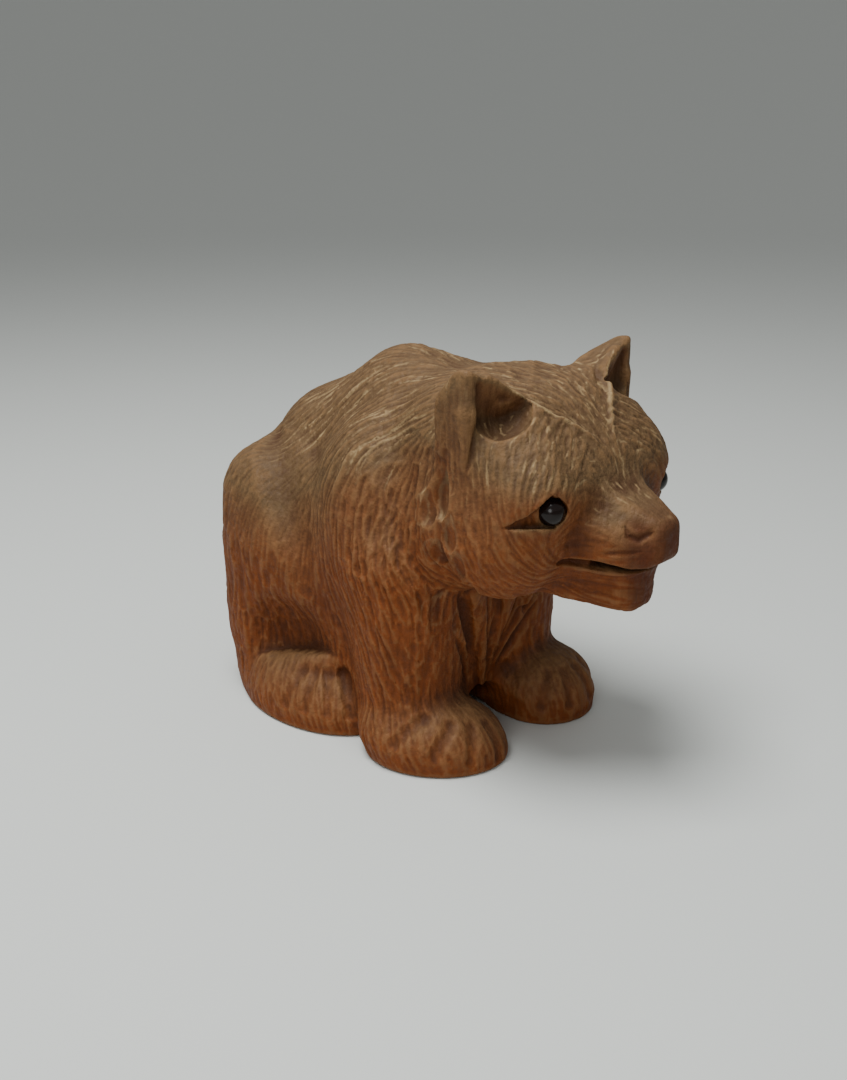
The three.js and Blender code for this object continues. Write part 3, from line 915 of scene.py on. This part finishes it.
# The sharp crest from the ear to the forehead stands proud
crest_line = (18.0, -43.0, 80), (14.0, -44.5, 77), (10.0, -48.0, 74), (4.0, -52.5, 69), (1.5, -55.5, 66)
twin(skin, crest, tapering, 2.0, 0.35, v_shaped, *crest_line)
print("deepest valley, highest crest:", round(float(valley.max()), 2), round(float(crest.max()), 2))

# %% Cutting the strokes into the skin
def ramp(values, low, span):
    """0 up to the low value, then rising to 1 over the span."""
    return np.clip((values - low) / span, 0, 1)


MOST_TRIANGLES = 198000
flat_sole = ramp(skin.places[:, 2], 0.6, 1.0)
clear_of_marks = 1 - 0.7 * ramp(marks, 0, 0.4)
cut = (chips + hairs + nicks) * clear_of_marks + marks + valley - crest
put_places(bear, skin.places - skin.outward * (cut * flat_sole)[:, None])
triangles = 2 * len(bear.data.polygons)
modified(bear, "DECIMATE", ratio=MOST_TRIANGLES / triangles)
print("triangles:", sum(len(face.vertices) - 2 for face in bear.data.polygons))
bear.data.shade_smooth()

# %% [markdown]
# ## Stained, worn wood, with painted light and shade
# Brown stain gathers in the cuts of the real figure, and dust and wear make its proud and
# upward parts pale. Both could be painted by hand or taken from a pointiness node, which sees one
# scale only. Here hollows of two sizes are measured on the finished skin and kept on its points,
# where the material reads them. The darkening in the hollows is stain and painted shade, and the
# paling of the upper parts is dust and painted light, with painted shade low down.

# %% Hollows, ridges and upward parts
places, outward, edges = places_of(bear), outward_of(bear), edges_of(bear)
fine_hollow = ((eased(places, edges, 4) - places) * outward).sum(1)
broad_hollow = ((eased(places, edges, 40) - places) * outward).sum(1)
up = eased(outward[:, 2], edges, 12)
print("fine and broad hollows:", np.percentile(fine_hollow, [2, 50, 98]).round(3),
      np.percentile(broad_hollow, [2, 50, 98]).round(3))


# %% Scratches and scoops
# Pale scratches of dust and wear lie along the hair on the upper parts, and on the crest
finished = Skin(bear)
scratches = comb_coat(
    finished, 0.15, lambda length, width, fine, broad: (0.8 * length, 0.85, 1), (0.45, 1.3),
    v_shaped, tapering,
)
crest = np.zeros(len(places))
twin(finished, crest, tapering, 1.5, 1, v_shaped, *crest_line)
upper = ramp(places[:, 2], 46, 14) * np.clip(up + 0.5, 0, 1)

# The scoops of the ruff are clean cuts with a painted highlight on their walls, and hold less of the
# stain and painted shade than other hollows
scoops = np.zeros(len(places))
for run, width, _, *stops in twin_cuts:
    if run is scooped:
        twin(finished, scoops, run, width, 1, dished, *stops)
# A painted highlight on the walls of each scoop
edge = 4 * scoops * (1 - scoops)
stain_and_shade_held = 1 - 0.65 * np.clip(scoops, 0, 1)
print("points in the scoops:", int((scoops > 0).sum()))


# %% Keeping the measures on the skin
FINE_SPAN, BROAD_SPAN = 0.16, 1.2


def keep(piece, name, values):
    attribute = piece.data.attributes.new(name, "FLOAT", "POINT")
    attribute.data.foreach_set("value", values.astype(np.float32))


height = ramp(places[:, 2], 36, 24)
head_top = ramp(places[:, 2], 60, 10)
rear = ramp(places[:, 1], 2, 10) * ramp(places[:, 2], 20, 28)
# Paler where the skin faces up, higher up, at the rear and on the head top: dust on the upward parts,
# with painted light on the upper parts and painted shade low down
dust_and_painted_light = np.clip(up + 0.15, 0, 1) * (0.75 + 0.25 * height) + 0.3 * (height + rear + head_top)
# Painted shade on the front of the nose, which also holds less dust
nose = ramp(-places[:, 1], 46.4, 1.5) * np.clip(-1.8 * outward[:, 1] - 0.3, 0, 1)
# Pale scratches, wear on the crest, and a painted highlight on the walls of the ruff's scoops
keep(bear, "scratches", np.clip(0.8 * scratches * upper + crest + 0.4 * edge, 0, 1))
# Darker in fine and broad hollows, for stain and painted shade; the ruff's scoops hold less, and the
# broad hollows on the head top less again
keep(bear, "fine_hollow", np.clip(0.5 + stain_and_shade_held * fine_hollow / FINE_SPAN, 0, 1))
stain_and_shade_held *= 1 - 0.6 * head_top
keep(bear, "broad_hollow", np.clip(0.5 + stain_and_shade_held * broad_hollow / BROAD_SPAN, 0, 1))
keep(bear, "dust_and_painted_light", dust_and_painted_light)
keep(bear, "nose", eased(nose, edges, 2))
print("mean dust:", round(float(dust_and_painted_light.mean()), 2), "points on the nose:", int((nose > 0.5).sum()))


# %% Node helpers for every material
def linear(red, green, blue):
    values = [value / 255 for value in (red, green, blue)]
    return (*[v / 12.92 if v <= 0.04045 else ((v + 0.055) / 1.055) ** 2.4 for v in values], 1)


def new_material(name):
    material = bpy.data.materials.new(name)
    material.use_nodes = True
    return material, material.node_tree, material.node_tree.nodes["Principled BSDF"]


def node(tree, kind, inputs=None, **settings):
    made = tree.nodes.new(kind)
    for name, value in settings.items():
        setattr(made, name, value)
    for name, value in (inputs or {}).items():
        if isinstance(value, bpy.types.NodeSocket):
            tree.links.new(value, made.inputs[name])
        else:
            made.inputs[name].default_value = value
    return made


def mixed(tree, factor, first, second):
    made = node(tree, "ShaderNodeMix", data_type="RGBA")
    for index, value in ((0, factor), (6, first), (7, second)):
        if isinstance(value, bpy.types.NodeSocket):
            tree.links.new(value, made.inputs[index])
        else:
            made.inputs[index].default_value = value
    return made.outputs[2]


def ranged(tree, value, low, high, to_low=0.0, to_high=1.0):
    made = node(tree, "ShaderNodeMapRange", {0: value, 1: low, 2: high, 3: to_low, 4: to_high})
    return made.outputs[0]


print("the stain's light brown as the shader wants it:", [round(c, 3) for c in linear(126, 64, 20)])

# %% [markdown]
# ## The wood material
# Bare stain is red-brown, and dust makes it greyer and paler. The colours are laid over each other:
# stain, dust with painted light on the upper parts and painted shade low down, stain and painted shade
# in the hollows, rubbed ridges, pale scratches with a painted highlight on the ruff's scoops, painted
# shade on the front of the nose, and the grain on top. The grain is noise that is stretched along the
# bear's height, as the block stood, and a bump from it keeps the surface from looking cast. A photo
# texture would fit one side only, so all is made from nodes. Old stained wood hardly shines, so its
# specular level is low.

# %% Grain, blotches and measures
wood, tree, surface = new_material("stained_wood")
place = node(tree, "ShaderNodeTexCoord").outputs["Object"]


def measure(name):
    return node(tree, "ShaderNodeAttribute", attribute_name=name).outputs["Fac"]


grain_place = node(tree, "ShaderNodeMapping", {"Vector": place, "Scale": (1, 1, 0.12)}).outputs[0]
grain = node(tree, "ShaderNodeTexNoise", {"Vector": grain_place, "Scale": 900, "Detail": 6}).outputs[0]
blotch = node(tree, "ShaderNodeTexNoise", {"Vector": place, "Scale": 70, "Detail": 5}).outputs[0]
speck = node(tree, "ShaderNodeTexNoise", {"Vector": place, "Scale": 900, "Detail": 5}).outputs[0]
print("noises:", sum(made.type == "TEX_NOISE" for made in tree.nodes))

# %% The colours, one over another
warm = mixed(tree, blotch, linear(92, 42, 10), linear(126, 64, 20))
# Pale grey-brown dust, which also stands for painted light on the upper parts; the bare red-brown left
# low down is partly painted shade
pale_dust_and_light = mixed(tree, blotch, linear(76, 57, 34), linear(104, 81, 54))
lit = ranged(tree, measure("dust_and_painted_light"), 0.1, 0.9)
base = mixed(tree, lit, warm, pale_dust_and_light)
# Darker in the fine cuts: brown stain and painted shade
stain_and_shade = ranged(tree, measure("fine_hollow"), 0.5, 1.0, 0, 0.4)
base = mixed(tree, stain_and_shade, base, linear(52, 23, 7))
# Darker in the broad recesses: painted shade, and the stain held there
recess_shade_and_stain = ranged(tree, measure("broad_hollow"), 0.62, 1.0, 0, 0.5)
base = mixed(tree, recess_shade_and_stain, base, linear(48, 19, 5))
proud = ranged(tree, measure("fine_hollow"), 0.42, 0.0, 0, 0.3)
base = mixed(tree, proud, base, linear(140, 104, 66))
# Pale scratches and crest wear, and a painted highlight on the walls of the ruff's scoops
pale_scratch_and_highlight = mixed(tree, blotch, linear(130, 106, 70), linear(176, 152, 112))
base = mixed(tree, ranged(tree, measure("scratches"), 0.25, 0.9, 0, 0.85), base, pale_scratch_and_highlight)
# Painted shade on the front of the nose
base = mixed(tree, ranged(tree, measure("nose"), 0.0, 1.0, 0, 0.7), base, linear(64, 24, 5))
base = mixed(tree, ranged(tree, grain, 0.35, 0.65, 0.0, 0.25), base, linear(50, 24, 8))
tree.links.new(base, surface.inputs["Base Color"])
print("colour layers:", sum(made.type == "MIX" for made in tree.nodes))

# %% The surface
tree.links.new(ranged(tree, speck, 0.3, 0.7, 0.55, 0.8), surface.inputs["Roughness"])
surface.inputs["Specular IOR Level"].default_value = 0.2
rough = node(tree, "ShaderNodeMath", {0: grain, 1: speck}, operation="ADD").outputs[0]
bump = node(tree, "ShaderNodeBump", {"Strength": 0.6, "Distance": 0.0006, "Height": rough})
tree.links.new(bump.outputs[0], surface.inputs["Normal"])
bear.data.materials.clear()
bear.data.materials.append(wood)
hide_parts("bear")
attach(bear, "root")
print("wood nodes:", len(tree.nodes))

# %% [markdown]
# ## The glass beads
# The eyes are round beads of dark glass, pressed into drilled holes. A ball with its back cut flat
# fits the floor of the hole, as the CAD bead does. A finished eye needs no iris: a dark colour with
# one small soft glint is what the bead shows. The CAD bead's middle is worked out from its points.

# %% Dark glass
glass, tree, surface = new_material("dark_glass")
surface.inputs["Base Color"].default_value = linear(20, 12, 9)
surface.inputs["Roughness"].default_value = 0.2
surface.inputs["Specular IOR Level"].default_value = 0.2
surface.inputs["Coat Weight"].default_value = 0.1
surface.inputs["Coat Roughness"].default_value = 0.08
print("glass roughness:", round(surface.inputs["Roughness"].default_value, 2))


# %% The beads
def middle_of_ball(points):
    """Least squares: every point of a ball is equally far from its middle."""
    table = np.concatenate([2 * points, np.ones((len(points), 1))], 1)
    return np.linalg.lstsq(table, (points**2).sum(1), rcond=None)[0][:3]


eye_radius = 2.5
eye_back = 1.6
for name, side in (("eye_right", -1), ("eye_left", 1)):
    middle = middle_of_ball(places_of(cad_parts[name]))
    aim = Vector((side * EYE_AIM[0], *EYE_AIM[1:])).normalized()
    bpy.ops.object.select_all(action="DESELECT")
    bpy.ops.mesh.primitive_uv_sphere_add(segments=48, ring_count=32, radius=eye_radius * MM)
    bead = bpy.context.object
    bead.name = name + "_bead"
    bpy.ops.object.mode_set(mode="EDIT")
    bpy.ops.mesh.select_all(action="SELECT")
    bpy.ops.mesh.bisect(
        plane_co=(0, 0, -eye_back * MM), plane_no=(0, 0, 1), use_fill=True, clear_inner=True
    )
    bpy.ops.object.mode_set(mode="OBJECT")
    turn = aim.to_track_quat("Z", "Y").to_matrix().to_4x4()
    bead.data.transform(Matrix.Translation(Vector(middle) * MM) @ turn)
    bead.data.shade_smooth()
    bead.data.materials.append(glass)
    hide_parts(name)
    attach(bead, "root")
    print(name, "middle in mm:", middle.round(2))

# %% [markdown]
# ## The floor
# The figure stands on a plain pale sheet that curves up far away from it, as in a small studio. A
# flat disc would end in a hard horizon. Here the disc's rim is drawn out and up in small steps.

# %% The floor
bpy.ops.object.select_all(action="DESELECT")
bpy.ops.mesh.primitive_circle_add(vertices=96, radius=1200 * MM, fill_type="NGON")
floor = bpy.context.object
floor.name = "floor"
bpy.ops.object.mode_set(mode="EDIT")
bpy.ops.mesh.select_all(action="SELECT")
bpy.ops.mesh.inset(thickness=0.1 * MM)
bpy.ops.mesh.select_all(action="DESELECT")
bpy.ops.mesh.select_mode(type="EDGE")
bpy.ops.mesh.select_non_manifold()
rim_steps = 12
for step in range(rim_steps):
    turn = math.radians(90 / rim_steps * step)
    bpy.ops.mesh.extrude_edges_move(
        TRANSFORM_OT_translate={"value": (0, 0, 0.2 * math.sin(turn))}
    )
    grow = 1 + 0.16 * math.cos(turn)
    bpy.ops.transform.resize(value=(grow, grow, 1), center_override=(0, 0, 0))
bpy.ops.object.mode_set(mode="OBJECT")
floor.data.shade_smooth()
pale, tree, surface = new_material("pale_floor")
surface.inputs["Base Color"].default_value = linear(196, 200, 196)
surface.inputs["Roughness"].default_value = 0.9
floor.data.materials.append(pale)
print("floor points:", len(floor.data.vertices))

# %% [markdown]
# ## The light
# The photograph looks softly lit from above, with a weak fill from the camera's side. Two round area
# lamps do the same, and an even grey world fills the shade. A sun would draw hard shadows that the
# photograph doesn't have.

# %% The light
def soft_light(name, place, size, power):
    lamp = bpy.data.lights.new(name, "AREA")
    lamp.shape = "DISK"
    lamp.size = size
    lamp.energy = power
    holder = bpy.data.objects.new(name, lamp)
    holder.location = place
    holder.rotation_mode = "QUATERNION"
    holder.rotation_quaternion = (looked_at - holder.location).to_track_quat("-Z", "Y")
    bpy.context.scene.collection.objects.link(holder)


soft_light("overhead", (-0.14, 0.02, 0.52), 0.28, 3.9)
soft_light("side", (-0.45, -0.25, 0.26), 0.25, 0.8)
world = bpy.data.worlds.new("studio")
world.use_nodes = True
world.node_tree.nodes["Background"].inputs["Color"].default_value = (1, 1, 1, 1)
world.node_tree.nodes["Background"].inputs["Strength"].default_value = 0.4
bpy.context.scene.world = world
